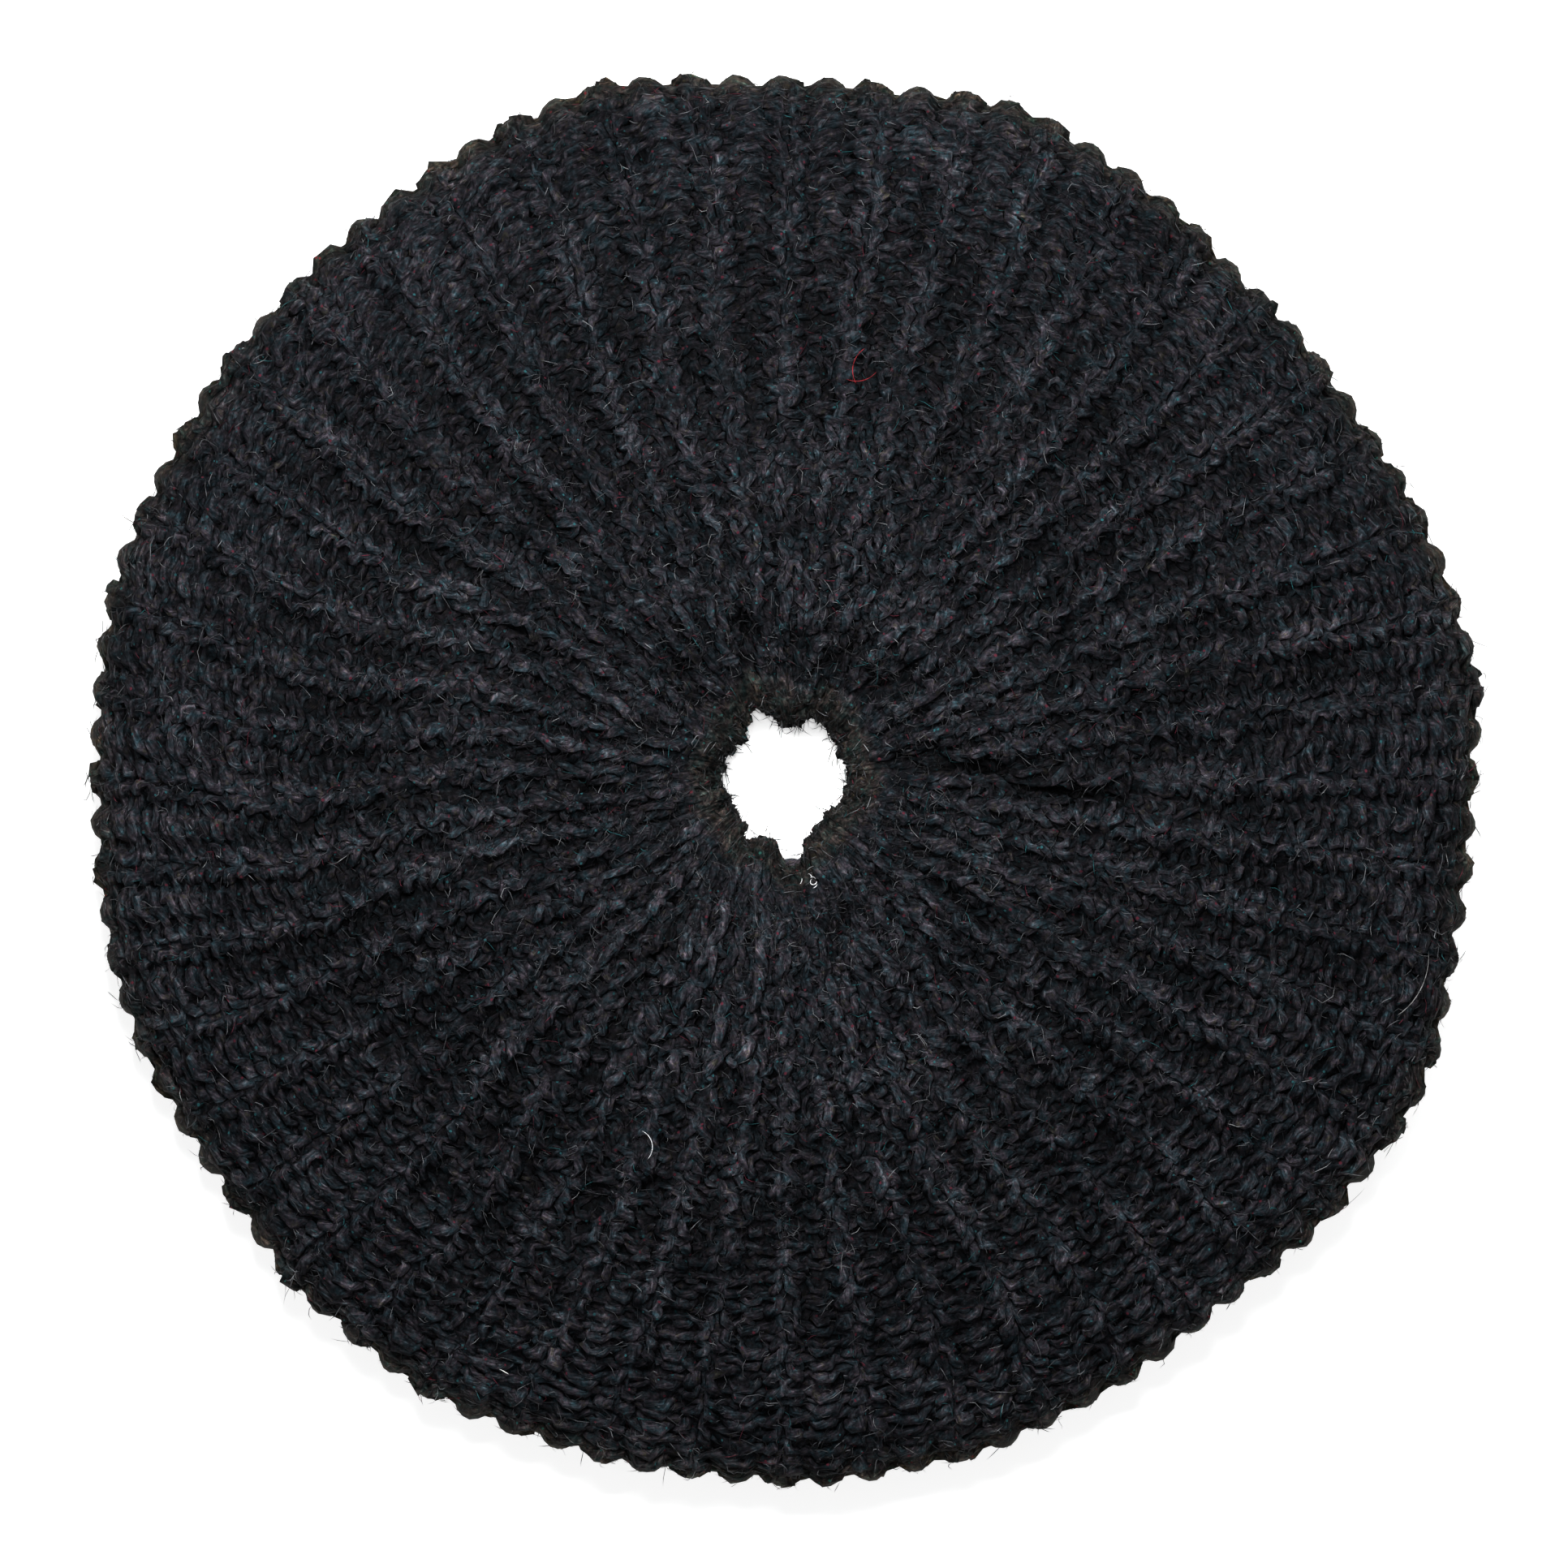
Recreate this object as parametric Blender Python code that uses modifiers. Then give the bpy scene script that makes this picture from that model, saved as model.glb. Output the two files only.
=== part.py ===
"""Soft polishing wheel: a rib-knit wool cover gathered into a spindle hole over a felt core.

The wheel lies on its back. The origin is the centre of its back face and +Z is the spindle axis.
Every length is in metres.
"""

import math

import bmesh
import bpy

# ---------------------------------------------------------------- driving dimensions
WHEEL_RADIUS = 0.1008  # half way between the crests and the furrows of the ribs at the rim
WHEEL_HEIGHT = 0.0340  # back face to crown, half way up the ribs
CROWN_RADIUS = 0.0330  # distance of the crown's highest ring from the axis
RIM_HEIGHT = 0.0120  # height of the widest ring of the rim
BORE_RADIUS = 0.0100  # gathered hole, for a 19 mm spindle
RIBS = 48  # knit columns, each with a purl furrow beside it
RIB_DEPTH = 0.0012  # crest to furrow
CLOTH = 0.0035  # thickness of the knit

# ---------------------------------------------------------------- worked-out dimensions
COLUMNS = 2 * RIBS
CROWN_CURVE = 2.2  # power of the front's rounded slope from crown to rim
BACK_FLAT_OUTER = 0.0860
BACK_FLAT_INNER = 0.0240
LIP_GAP = 0.0060  # slot between the cover's two gathered ends, inside the bore
LIP_MIDDLE = RIM_HEIGHT + 0.0030
FLAT_TOLERANCE = 0.0002

SEAM_ALLOWANCE = 0.0022  # room between the cover and the core for the sewn seam
PLY_GAP = 0.0003
CORE_BORE_RADIUS = 0.0190
CORE_SEGMENTS = 64
BACK_PLY_RADIUS = 0.0870
STIFF_PLY_RADIUS = 0.0920
FACE_PLY_RADIUS = 0.0850
CROWN_PAD_RADIUS = 0.0780
CROWN_PAD_DEPTH = CLOTH + SEAM_ALLOWANCE + RIB_DEPTH / 2  # its top lies this far under the cover's surface
CROWN_PAD_SHOULDER = 0.0045  # width of the slope where the pad falls away towards the bore
CROWN_PAD_SHOULDER_DROP = 0.0022
CROWN_PAD_BORE_DROP = 0.0055
BACK_PLY_BASE = CLOTH + SEAM_ALLOWANCE + RIB_DEPTH / 2
BACK_PLY_THICKNESS = 0.0050
STIFF_PLY_THICKNESS = 0.0040
FACE_PLY_THICKNESS = 0.0050

CORD_DIAMETER = 0.0016
CORD_RING_RADIUS = 0.0122
CORD_OFFSET = 0.0013  # each draw cord's height above or below the middle of the bore slot
SEAM_DIAMETER = 0.0010
SEAM_ANGLE = math.radians(-4)
SEAM_REST = CLOTH + SEAM_ALLOWANCE / 2  # depth of the seam's centre under the cover's surface


# ---------------------------------------------------------------- outline of the cover
def front_height(radius):
    """Height of the cover's front surface outside the crown ring."""
    share = (radius - CROWN_RADIUS) / (WHEEL_RADIUS - CROWN_RADIUS)
    fall = (1 - share**CROWN_CURVE) ** (1 / CROWN_CURVE)
    return RIM_HEIGHT + (WHEEL_HEIGHT - RIM_HEIGHT) * fall


def quarter(centre, reach, first, last, steps):
    """Points on part of an ellipse, angles in degrees from the outward direction."""
    points = []
    for step in range(steps + 1):
        angle = math.radians(first + (last - first) * step / steps)
        points.append((centre[0] + reach[0] * math.cos(angle), centre[1] + reach[1] * math.sin(angle)))
    return points


def cover_outline():
    """The cover's surface from its front lip in the bore, over crown, rim and back, to its back lip."""
    lip_top = LIP_MIDDLE + LIP_GAP / 2
    lip_bottom = LIP_MIDDLE - LIP_GAP / 2
    shoulder = CROWN_RADIUS - BORE_RADIUS
    points = quarter((CROWN_RADIUS, lip_top), (shoulder, WHEEL_HEIGHT - lip_top), 180, 90, 5)
    for share in (0.28, 0.5, 0.68, 0.82, 0.92, 0.98):
        radius = CROWN_RADIUS + (WHEEL_RADIUS - CROWN_RADIUS) * share
        points.append((radius, front_height(radius)))
    back_edge = (WHEEL_RADIUS - BACK_FLAT_OUTER, RIM_HEIGHT)
    points += quarter((BACK_FLAT_OUTER, RIM_HEIGHT), back_edge, 0, -90, 4)
    back_lip = (BACK_FLAT_INNER - BORE_RADIUS, lip_bottom)
    points += quarter((BACK_FLAT_INNER, lip_bottom), back_lip, -90, -180, 3)
    return points


# ---------------------------------------------------------------- making objects
def clear_scene():
    for obj in list(bpy.data.objects):
        bpy.data.objects.remove(obj, do_unlink=True)


def collection(name):
    made = bpy.data.collections.new(name)
    bpy.context.scene.collection.children.link(made)
    return made


def material(name, colour, roughness):
    made = bpy.data.materials.new(name)
    made.use_nodes = True
    shader = made.node_tree.nodes["Principled BSDF"]
    shader.inputs["Base Color"].default_value = (*colour, 1)
    shader.inputs["Roughness"].default_value = roughness
    shader.inputs["Metallic"].default_value = 0
    return made


def add_object(name, data, finish, group):
    obj = bpy.data.objects.new(name, data)
    data.materials.append(finish)
    group.objects.link(obj)
    return obj


def profile_mesh(name, points, closed):
    """Edges through (radius, height) points, standing in the XZ plane for a Screw modifier."""
    mesh = bpy.data.meshes.new(name)
    corners = [(radius, 0, height) for radius, height in points]
    count = len(corners)
    edges = [(i, (i + 1) % count) for i in range(count if closed else count - 1)]
    mesh.from_pydata(corners, edges, [])
    return mesh


def add_screw(obj, steps):
    screw = obj.modifiers.new("turn", "SCREW")
    screw.steps = steps
    screw.render_steps = steps
    screw.use_merge_vertices = True
    screw.merge_threshold = 0.00001
    return screw


def bake(obj):
    """Replaces the object's mesh by the one its modifiers make."""
    graph = bpy.context.evaluated_depsgraph_get()
    mesh = bpy.data.meshes.new_from_object(obj.evaluated_get(graph))
    obj.modifiers.clear()
    obj.data = mesh


# ---------------------------------------------------------------- the pieces
def knit_cover(group, finish):
    """The knitted tube: front, rim and back in one, open only at the slot inside the bore."""
    cover = add_object("knit_cover", profile_mesh("knit_cover", cover_outline(), False), finish, group)
    add_screw(cover, COLUMNS)
    bake(cover)
    raise_ribs(cover.data)
    shell = cover.modifiers.new("cloth", "SOLIDIFY")
    shell.thickness = CLOTH
    shell.offset = -1
    return cover


def raise_ribs(mesh):
    """Lifts every other meridian into a rib and sinks the ones between, but leaves the back face flat."""
    work = bmesh.new()
    work.from_mesh(mesh)
    work.normal_update()
    shifts = []
    for corner in work.verts:
        radius = math.hypot(corner.co.x, corner.co.y)
        on_back = corner.co.z < FLAT_TOLERANCE
        room = min(1, max(0, (radius - BORE_RADIUS) / CROWN_RADIUS))
        wave = math.cos(RIBS * math.atan2(corner.co.y, corner.co.x))
        shifts.append(corner.normal * (0 if on_back else RIB_DEPTH / 2 * wave * room))
    for corner, shift in zip(work.verts, shifts):
        corner.co += shift
    work.to_mesh(mesh)
    work.free()


def felt_ply(name, outer, base, thickness, group, finish):
    """A flat ring of felt with a slightly eased outer edge."""
    ease = min(0.0010, thickness / 4)
    top = base + thickness
    outline = [
        (CORE_BORE_RADIUS, top),
        (outer - ease, top),
        (outer, top - ease),
        (outer, base + ease),
        (outer - ease, base),
        (CORE_BORE_RADIUS, base),
    ]
    ply = add_object(name, profile_mesh(name, outline, True), finish, group)
    add_screw(ply, CORE_SEGMENTS)
    return ply


def crown_pad(base, group, finish):
    """The soft top pad, domed to carry the cover and lower where the cover dips into the bore."""
    crest = WHEEL_HEIGHT - CROWN_PAD_DEPTH
    outline = [
        (CORE_BORE_RADIUS, crest - CROWN_PAD_BORE_DROP),
        (CORE_BORE_RADIUS + CROWN_PAD_SHOULDER, crest - CROWN_PAD_SHOULDER_DROP),
        (CROWN_RADIUS, crest),
    ]
    for share in (0.35, 0.7, 1):
        radius = CROWN_RADIUS + (CROWN_PAD_RADIUS - CROWN_RADIUS) * share
        outline.append((radius, front_height(radius) - CROWN_PAD_DEPTH))
    outline += [(CROWN_PAD_RADIUS, base), (CORE_BORE_RADIUS, base)]
    pad = add_object("crown_pad", profile_mesh("crown_pad", outline, True), finish, group)
    add_screw(pad, CORE_SEGMENTS)
    return pad


def draw_cord(name, height, group, finish):
    """A ring of waxed cord through the cover's edge stitches, which pulls that end into the bore."""
    bpy.ops.mesh.primitive_torus_add(
        major_radius=CORD_RING_RADIUS,
        minor_radius=CORD_DIAMETER / 2,
        major_segments=40,
        minor_segments=8,
        location=(0, 0, height),
    )
    cord = bpy.context.object
    cord.name = name
    cord.data.name = name
    cord.data.materials.append(finish)
    for holder in list(cord.users_collection):
        holder.objects.unlink(cord)
    group.objects.link(cord)
    return cord


def seam_route():
    """(radius, height) points inside the cover, along the join that closes the knitted strip to a tube."""
    outline = cover_outline()
    route = []
    for before, here, after in zip(outline, outline[1:], outline[2:]):
        along = (after[0] - before[0], after[1] - before[1])
        length = math.hypot(*along)
        inward = (along[1] / length, -along[0] / length)
        depth = SEAM_REST + RIB_DEPTH / 2
        route.append((here[0] + inward[0] * depth, here[1] + inward[1] * depth))
    return [point for point in route if point[0] > BACK_FLAT_INNER - SEAM_DIAMETER]


def cover_seam(group, finish):
    """The seam yarn, a thin cord lying against the inside of the cover."""
    curve = bpy.data.curves.new("cover_seam_yarn", "CURVE")
    curve.dimensions = "3D"
    curve.bevel_depth = SEAM_DIAMETER / 2
    curve.bevel_resolution = 1
    curve.use_fill_caps = True
    route = seam_route()
    spline = curve.splines.new("POLY")
    spline.points.add(len(route) - 1)
    for point, (radius, height) in zip(spline.points, route):
        point.co = (radius * math.cos(SEAM_ANGLE), radius * math.sin(SEAM_ANGLE), height, 1)
    return add_object("cover_seam_yarn", curve, finish, group)


def build():
    clear_scene()
    wheel = collection("polishing_wheel")
    wool = material("rib_knit_wool", (0.014, 0.016, 0.018), 0.95)
    thread = material("waxed_cord", (0.05, 0.05, 0.052), 0.7)
    soft_felt = material("soft_felt", (0.11, 0.115, 0.12), 0.95)
    hard_felt = material("hard_felt", (0.07, 0.072, 0.076), 0.9)

    knit_cover(wheel, wool)
    cover_seam(wheel, thread)
    draw_cord("front_draw_cord", LIP_MIDDLE + CORD_OFFSET, wheel, thread)
    draw_cord("back_draw_cord", LIP_MIDDLE - CORD_OFFSET, wheel, thread)

    base = BACK_PLY_BASE
    felt_ply("back_felt_ply", BACK_PLY_RADIUS, base, BACK_PLY_THICKNESS, wheel, soft_felt)
    base += BACK_PLY_THICKNESS + PLY_GAP
    felt_ply("stiff_felt_ply", STIFF_PLY_RADIUS, base, STIFF_PLY_THICKNESS, wheel, hard_felt)
    base += STIFF_PLY_THICKNESS + PLY_GAP
    felt_ply("front_felt_ply", FACE_PLY_RADIUS, base, FACE_PLY_THICKNESS, wheel, soft_felt)
    crown_pad(base + FACE_PLY_THICKNESS + PLY_GAP, wheel, soft_felt)


build()
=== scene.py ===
# %% [markdown]
# A soft polishing wheel for lapidary work, about 200 mm across. Its cover is one tube of chunky wool
# knitting in 1 x 1 rib: a knit column, a purl column, and so on round the wheel. Both ends of the
# tube are gathered into the spindle hole, so 96 columns crowd together there and most of them tuck
# under their neighbours. Inside lie rings of pressed felt.
#
# The cover could be a smooth surface with a knitted pattern painted on, but a rib's shadows and its
# fuzzy outline come from real loops of yarn. So each row of knitting is modelled as one closed
# length of yarn that loops round the wheel, and loose fibres are added on top.

# %% Frame
import math

import bpy
import numpy as np
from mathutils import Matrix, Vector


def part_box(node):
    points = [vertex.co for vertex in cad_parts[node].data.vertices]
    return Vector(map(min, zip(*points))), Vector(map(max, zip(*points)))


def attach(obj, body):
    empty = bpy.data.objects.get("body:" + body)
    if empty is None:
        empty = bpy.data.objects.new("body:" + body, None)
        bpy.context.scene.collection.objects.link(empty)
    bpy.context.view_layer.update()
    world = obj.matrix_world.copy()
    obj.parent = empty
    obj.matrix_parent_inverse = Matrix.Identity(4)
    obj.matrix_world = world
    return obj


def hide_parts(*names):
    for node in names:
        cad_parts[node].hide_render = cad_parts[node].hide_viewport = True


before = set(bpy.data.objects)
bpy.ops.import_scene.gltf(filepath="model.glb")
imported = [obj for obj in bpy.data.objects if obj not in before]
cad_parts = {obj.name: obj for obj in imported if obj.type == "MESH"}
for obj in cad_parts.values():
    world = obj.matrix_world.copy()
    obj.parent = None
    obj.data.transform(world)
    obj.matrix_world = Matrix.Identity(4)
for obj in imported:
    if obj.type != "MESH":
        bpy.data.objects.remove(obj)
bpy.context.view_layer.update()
MM = 0.001
FLOOR_GAP = 0.0001
print("nodes", sorted(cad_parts))

# %% [markdown]
# The camera hangs straight above the wheel and looks down on its face, because a buff is judged by
# its working surface. A long lens from 0.6 m keeps the round outline true.

# %% Camera
RIM_PLANE = 0.012
CAMERA_HEIGHT = 0.6
FRAME_WIDTH = 0.2282  # what the frame takes in at the rim's height
SENSOR = 0.036
AIMED_ASIDE = (0.0004, -0.0006)  # the wheel doesn't lie quite in the middle of the frame

camera_data = bpy.data.cameras.new("camera")
camera_data.sensor_width = SENSOR * 1000
camera_data.lens = SENSOR * CAMERA_HEIGHT / FRAME_WIDTH * 1000
camera = bpy.data.objects.new("camera", camera_data)
camera.location = (*AIMED_ASIDE, RIM_PLANE + CAMERA_HEIGHT)
bpy.context.collection.objects.link(camera)
bpy.context.scene.camera = camera
bpy.context.scene.view_settings.view_transform = "Standard"

# %% [markdown]
# The floor is a plain pale sheet, and it stays bright inside the spindle hole only if some of the light
# falls straight down, so a small sun stands at the zenith. The floor also glows faintly, as painted light,
# which keeps it white in the wheel's shadow and lights the wool a little from below. A large soft panel
# beyond the wheel's top edge gives the ribs their direction of shade. A small panel close above the wheel
# adds most of the light on the wool and gives every yarn a shadow of its own.

# %% Lights and floor
SUN_WIDTH = math.radians(3)
WORLD_STRENGTH = 0.26
FLOOR_SIZE = 30
FLOOR_DROP = 0.0004  # the floor lies this far below the wheel, so that the two don't mix


def add_light(name, kind, energy, place, size):
    """A light aimed at the wheel's middle. size is a panel's width, or a sun's angle."""
    light = bpy.data.lights.new(name, kind)
    light.energy = energy
    if kind == "AREA":
        light.size = size
    else:
        light.angle = size
    holder = bpy.data.objects.new(name, light)
    holder.location = place
    holder.rotation_euler = holder.location.to_track_quat("Z", "Y").to_euler()
    bpy.context.collection.objects.link(holder)


add_light("zenith_sun", "SUN", 1.2, (0, 0, 1), SUN_WIDTH)
add_light("key_panel", "AREA", 3.0, (0.16, 0.72, 0.60), 0.5)
add_light("near_panel", "AREA", 1.75, (-0.01, 0.065, 0.26), 0.10)

world = bpy.data.worlds.new("studio")
world.use_nodes = True
world.node_tree.nodes["Background"].inputs["Color"].default_value = (1, 1, 1, 1)
world.node_tree.nodes["Background"].inputs["Strength"].default_value = WORLD_STRENGTH
bpy.context.scene.world = world

bpy.ops.object.select_all(action="DESELECT")
bpy.ops.mesh.primitive_plane_add(size=FLOOR_SIZE, location=(0, 0, -FLOOR_DROP))
floor = bpy.context.object
floor.name = "floor"
floor_paint = bpy.data.materials.new("glowing_floor")
floor_paint.use_nodes = True
floor_shader = floor_paint.node_tree.nodes["Principled BSDF"]
floor_shader.inputs["Base Color"].default_value = (0.93, 0.93, 0.93, 1)
floor_shader.inputs["Roughness"].default_value = 0.9
# painted light: the floor glows faintly, though it is no lamp
floor_shader.inputs["Emission Color"].default_value = (1, 1, 1, 1)
floor_shader.inputs["Emission Strength"].default_value = 0.4
floor.data.materials.append(floor_paint)

# %% [markdown]
# The shape that the knitting is stretched over. Cut through the wheel on one side, its outline
# starts at the front lip inside the hole, climbs over a crown about a third of the way out, falls
# slowly and then steeply to the rim, turns under, runs flat along the back and ends at the back
# lip. It is drawn here once, as close points along that line, with the direction that faces out of
# the wheel at each.

# %% Outline
cover_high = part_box("knit_cover")[1]
RIB_HALF = 0.0006  # half of what a rib stands out over the furrow beside it
RIM_RADIUS = cover_high[0] - RIB_HALF
CREST_HEIGHT = 0.034
CROWN_RADIUS = 0.033
BORE_RADIUS = 0.010
LIP_FRONT = 0.018
LIP_BACK = 0.012
BACK_FLAT = (0.024, 0.086)  # the back lies flat between these radii
FALL_POWER = 2.2  # a circle's is 2, and more makes the slope fuller towards the rim
SMOOTHING = 9  # samples that are averaged, so that no corner is left where two parts meet
print("rim radius", round(RIM_RADIUS * 1000, 1), "mm")


def arc(centre, reach, first, last, count):
    """Points on an ellipse's arc, from one angle to another, without the last."""
    turn = np.radians(np.linspace(first, last, count, endpoint=False))
    return np.column_stack([centre[0] + reach[0] * np.cos(turn), centre[1] + reach[1] * np.sin(turn)])


def outline():
    """Points (radius, height) from the front lip round the wheel's section to the back lip."""
    shoulder = (CROWN_RADIUS - BORE_RADIUS, CREST_HEIGHT - LIP_FRONT)
    front_lip = arc((CROWN_RADIUS, LIP_FRONT), shoulder, 180, 90, 60)
    share = np.sin(np.linspace(0, math.pi / 2, 160, endpoint=False))
    fall = (1 - share**FALL_POWER) ** (1 / FALL_POWER)
    slope_radius = CROWN_RADIUS + (RIM_RADIUS - CROWN_RADIUS) * share
    slope = np.column_stack([slope_radius, RIM_PLANE + (CREST_HEIGHT - RIM_PLANE) * fall])
    turn_under = arc((BACK_FLAT[1], RIM_PLANE), (RIM_RADIUS - BACK_FLAT[1], RIM_PLANE), 0, -90, 50)
    flat_radius = np.linspace(BACK_FLAT[1], BACK_FLAT[0], 60, endpoint=False)
    flat = np.column_stack([flat_radius, np.zeros(60)])
    back_lip = arc((BACK_FLAT[0], LIP_BACK), (BACK_FLAT[0] - BORE_RADIUS, LIP_BACK), -90, -181, 40)
    return np.vstack([front_lip, slope, turn_under, flat, back_lip])


line = outline()
step = np.hypot(*np.diff(line, axis=0).T)
travel = np.concatenate([[0], np.cumsum(step)])
LINE_LENGTH = travel[-1]
SAMPLES = 900
line_s = np.linspace(0, LINE_LENGTH, SAMPLES)
line_r = np.interp(line_s, travel, line[:, 0])
line_z = np.interp(line_s, travel, line[:, 1])
kernel = np.ones(SMOOTHING) / SMOOTHING
between_ends = slice(SMOOTHING - 1, 1 - SMOOTHING)
line_r[between_ends] = np.convolve(line_r, kernel, "same")[between_ends]
line_z[between_ends] = np.convolve(line_z, kernel, "same")[between_ends]
along_r = np.gradient(line_r, line_s)
along_z = np.gradient(line_z, line_s)
norm = np.hypot(along_r, along_z)
out_r = -along_z / norm
out_z = along_r / norm
RIM_S = line_s[np.argmax(line_r)]
print("from lip to lip", round(LINE_LENGTH * 1000), "mm, rim at", round(RIM_S * 1000), "mm")

# %% [markdown]
# Near the rim every column has room. Towards the hole the same 96 columns share a shorter and
# shorter circle, but the yarn stays as thick as it was. First the purl columns sink out of sight
# and become the dark furrows between the ribs. Close to the hole one knit column after another
# tucks under its neighbours too. Each column gets a radius inside which it has sunk. The golden
# ratio spreads the columns that last longest evenly round the hole, as a draw cord does.

# %% Columns
rng = np.random.default_rng(7)
COLUMNS = 96
KNIT_NARROWEST = 0.0031  # a knit column tucks under where those on top would get narrower
KNIT_REACH = 0.004  # half the way, along the radius, that a knit column takes to sink
PURL_SINKS = 0.080  # the radius where a purl column is halfway down
PURL_VARIES = 0.004
PURL_REACH = 0.019
TUCKED_SHARE = 0.42  # the width that a sunk column keeps
GOLDEN = 0.6180339
SINK = 0.0028
CROWN_SHARE = 0.36  # the share of SINK that furrows have on the crown
SIDES_SHARE = 0.42  # what the left and the right of the crown have more


def smooth(x):
    """An even step from 0 to 1, level at both ends."""
    x = np.clip(x, 0, 1)
    return x * x * (3 - 2 * x)


knit_count = COLUMNS // 2
golden = (np.arange(knit_count) * GOLDEN) % 1
knit_order = np.argsort(np.argsort(golden + rng.normal(0, 0.02, knit_count)))
sink_radius = np.empty(COLUMNS)
sink_radius[0::2] = KNIT_NARROWEST * (knit_order + 1) / (2 * math.pi)
sink_radius[1::2] = PURL_SINKS + rng.normal(0, PURL_VARIES, knit_count)
sink_reach = np.empty(COLUMNS)
sink_reach[0::2] = KNIT_REACH
sink_reach[1::2] = PURL_REACH
shown = smooth((line_r[:, None] - sink_radius[None, :]) / (2 * sink_reach[None, :]) + 0.5)
width = TUCKED_SHARE + (1 - TUCKED_SHARE) * shown
edge = np.concatenate([np.zeros((SAMPLES, 1)), np.cumsum(width, axis=1)], axis=1)
edge *= 2 * math.pi / edge[:, -1:]
edge -= (edge[:, 1] / 2)[:, None]
for radius in (0.095, 0.07, 0.05, 0.03, 0.015):
    at = np.argmin(np.abs(line_r[: SAMPLES // 2] - radius))
    print("columns on top at", round(radius / MM), "mm:", round(float(shown[at].sum()), 1))


def look_up(table, s, c):
    """Reads a table that has a row for each sample of the outline and a column for each rib."""
    row = np.clip(s / LINE_LENGTH * (SAMPLES - 1), 0, SAMPLES - 1.001)
    i = row.astype(int)
    down = row - i
    j = np.floor(c).astype(int)
    right = c - j
    above = table[i, j] * (1 - right) + table[i, j + 1] * right
    below = table[i + 1, j] * (1 - right) + table[i + 1, j + 1] * right
    return above * (1 - down) + below * down


edge_wrapped = np.concatenate([edge[:, -2:-1] - 2 * math.pi, edge, edge[:, 1:2] + 2 * math.pi], axis=1)
sunk = 1 - shown
sunk_wrapped = np.concatenate([sunk, sunk[:, :1]], axis=1)


def angle_of(s, c):
    """The angle round the wheel of column position c, where column k runs from k to k + 1."""
    return look_up(edge_wrapped, s, c + 1)


def sink_of(s, c):
    """How far tucked under, from 0 to 1, smoothly from one column's middle to the next."""
    return look_up(sunk_wrapped, s, np.mod(c - 0.5, COLUMNS))


def depth_of(s, c):
    """How deep a column lies at s: on the crown its furrow is shallow, save to the left and right."""
    radius = np.interp(s, line_s, line_r)
    sides = smooth((np.abs(np.cos(2 * math.pi * c / COLUMNS)) - 0.35) / 0.4)
    crown = CROWN_SHARE + SIDES_SHARE * sides
    return SINK * sink_of(s, c) * (crown + (1 - crown) * smooth((radius - 0.040) / 0.025))


def roundness(c):
    """From -1 in the furrow beside a column to 1 on its middle, with a full top and a sharp notch."""
    return 2 * np.abs(np.cos(math.pi * (c - 0.5))) ** 0.75 - 1


# %% [markdown]
# A hand-gathered wheel isn't a perfect circle. A few slow waves make the outline wander by 2 or 3
# mm, the hole has lobes where the folds part, the ribs sway on their way in, and creases run out
# from the hole. The longest one is where the knitted strip is joined into a tube.
#
# Shade and wear colour the wool too. Hardly any light gets down into the furrows, so they are painted
# darkest, as painted shade that deepens with depth. Where hands and work have felted the wool, round the
# hole and along the rim, it has turned brownish, which is wear. One function writes both into a colour for
# each point, which the wool finish multiplies by.

# %% Unevenness
# waves round the wheel, height in mm and where the first peak is, in degrees
OUTLINE_WAVES = ((2, 0.8, 98), (3, 0.8, 107), (4, 0.5, 79), (7, 0.5, 17), (8, 0.7, 18), (11, 0.3, 6))
OUTLINE_MORE = 0.5  # mm
HOLE_CLOSES = -2.8  # mm, before the lobes open it
HOLE_REACH = 0.030  # the radius up to which the lobes are felt
HOLE_LOBES = (  # middle in degrees, depth in mm and spread in degrees
    (30, 1.6, 13),
    (58, 2.9, 11),
    (110, 3.4, 12),
    (168, 1.5, 24),
    (240, 2.4, 10),
    (278, 5.2, 10),
    (308, 1.0, 14),
    (355, 2.3, 18),
)
CREASES = (  # start, end, depth and half width in mm
    ((15, 2), (54, -1.8), 3.4, 1.4),
    ((5, 12), (11, 22), 2.8, 1.6),
    ((-3, 13), (-7, 24), 2.6, 1.4),
    ((10, 10), (19, 17), 2.6, 1.3),
    ((1, 12), (2, 21), 2.6, 1.5),
    ((-9, 9), (-17, 17), 2.6, 1.4),
    ((-12, -5), (-38, 2), 2.4, 1.2),
    ((-12, -13), (-25, -39), 2.2, 1.2),
    ((6, -14), (9, -30), 1.6, 1.2),
    ((14, -9), (33, -22), 1.6, 1.2),
)
DEPTH_SHADE = (  # heights over the outline, and the painted shade of the wool at each: the deeper, the darker
    (-0.0055, -0.0034, -0.0015, 0.0006),
    (0.08, 0.38, 0.78, 1.42),
)
EDGE_TINT = (1.95, 1.60, 0.84)
HOLE_BROWN = 0.45  # the hole is less brown than the rim
FELTED_HOLE = 0.022  # the radius inside which the wool has felted
FELTED_RIM = 0.0060  # and how far to either side of the rim
SWAY_MIDDLE = 0.052
SWAY_SPREAD = 0.026


def outline_shift(angle):
    """How much further out the rim is at an angle, in metres."""
    waves = sum(size * np.cos(n * (angle - math.radians(peak))) for n, size, peak in OUTLINE_WAVES)
    return MM * (OUTLINE_MORE + waves)


def hole_shift(angle):
    """How much further out the lip of the hole is at an angle, in metres."""
    shift = HOLE_CLOSES + 0 * angle
    for centre, size, spread in HOLE_LOBES:
        off = np.mod(np.degrees(angle) - centre + 180, 360) - 180
        shift = shift + size * np.exp(-((off / spread) ** 2) / 2)
    return MM * shift


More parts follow.
